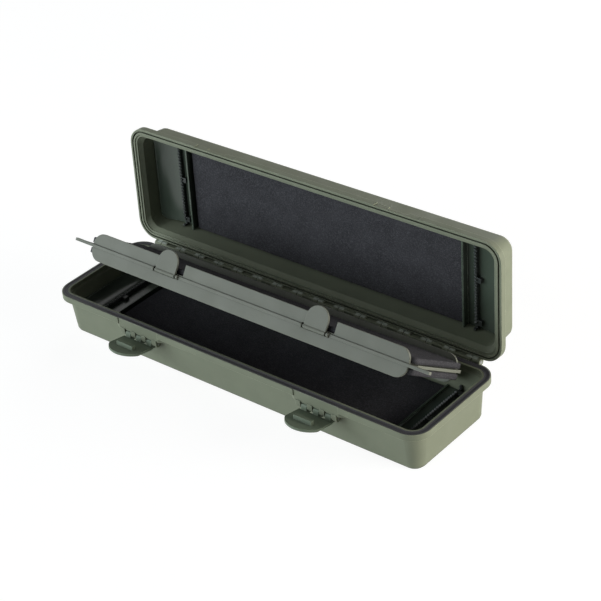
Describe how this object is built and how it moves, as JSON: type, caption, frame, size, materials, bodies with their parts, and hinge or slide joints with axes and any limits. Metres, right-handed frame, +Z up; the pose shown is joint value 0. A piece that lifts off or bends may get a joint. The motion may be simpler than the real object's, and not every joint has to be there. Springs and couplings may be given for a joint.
{
  "type": "fishing rig box",
  "caption": "Slim hinged rig box, shown open: two foam-lined trays with toothed end racks, a foam-filled middle leaf with finger tabs, two front latches.",
  "frame": {"origin": "middle of the base's flat underside, on the surface it stands on", "axes": "+X along the box to its right end, +Y back to the hinge, +Z up"},
  "size_m": [0.35, 0.1541, 0.1344],
  "materials": {
    "shell": "satin",
    "leaf": "satin",
    "latch": "satin",
    "insert": "satin",
    "comb": "satin",
    "gasket": "matte",
    "foam": "matte",
    "pin_steel": "satin"
  },
  "bodies": {
    "base": {"base_shell": "shell", "rim_gasket": "gasket", "hinge_pin": "pin_steel", "base_foam": "foam", "base_end_insert_left": "insert", "base_end_insert_right": "insert", "base_comb_left": "comb", "base_comb_right": "comb", "latch_pin_left": "pin_steel", "latch_pin_right": "pin_steel", "leaf_pin_left": "pin_steel", "leaf_pin_right": "pin_steel"},
    "lid": {"lid_shell": "shell", "lid_foam": "foam", "lid_end_insert_left": "insert", "lid_end_insert_right": "insert", "lid_comb_left": "comb", "lid_comb_right": "comb"},
    "leaf": {"leaf_plate": "leaf", "leaf_upper_tray": "leaf", "leaf_lower_tray": "leaf", "leaf_upper_foam": "foam", "leaf_lower_foam": "foam"},
    "latch_left": {"latch_left": "latch"},
    "latch_right": {"latch_right": "latch"},
    "finger_tab_left": {"finger_tab_left": "leaf"},
    "finger_tab_right": {"finger_tab_right": "leaf"}
  },
  "joints": [
    {"name": "lid_hinge", "type": "hinge", "parent": "base", "child": "lid", "pos_m": [0, 0.0505, 0.036], "axis": [-1, 0, 0], "range_deg": [-92.3, 0]},
    {"name": "leaf_hinge", "type": "hinge", "parent": "base", "child": "leaf", "pos_m": [0, 0.0353, 0.0345], "axis": [-1, 0, 0], "range_deg": [-33.7, 0]},
    {"name": "latch_left_hinge", "type": "hinge", "parent": "base", "child": "latch_left", "pos_m": [-0.086, -0.0455, 0.0245], "axis": [1, 0, 0], "range_deg": [-79, 0]},
    {"name": "latch_right_hinge", "type": "hinge", "parent": "base", "child": "latch_right", "pos_m": [0.086, -0.0455, 0.0245], "axis": [1, 0, 0], "range_deg": [-79, 0]},
    {"name": "finger_tab_left_hinge", "type": "hinge", "parent": "leaf", "child": "finger_tab_left", "pos_m": [-0.07355, -0.02302, 0.07339], "axis": [1, 0, 0], "range_deg": [0, 90]},
    {"name": "finger_tab_right_hinge", "type": "hinge", "parent": "leaf", "child": "finger_tab_right", "pos_m": [0.06945, -0.02302, 0.07339], "axis": [1, 0, 0], "range_deg": [0, 90]}
  ],
  "couplings": [
    {"joint": "leaf_hinge", "follows": "lid_hinge", "ratio": 0.36511}
  ]
}
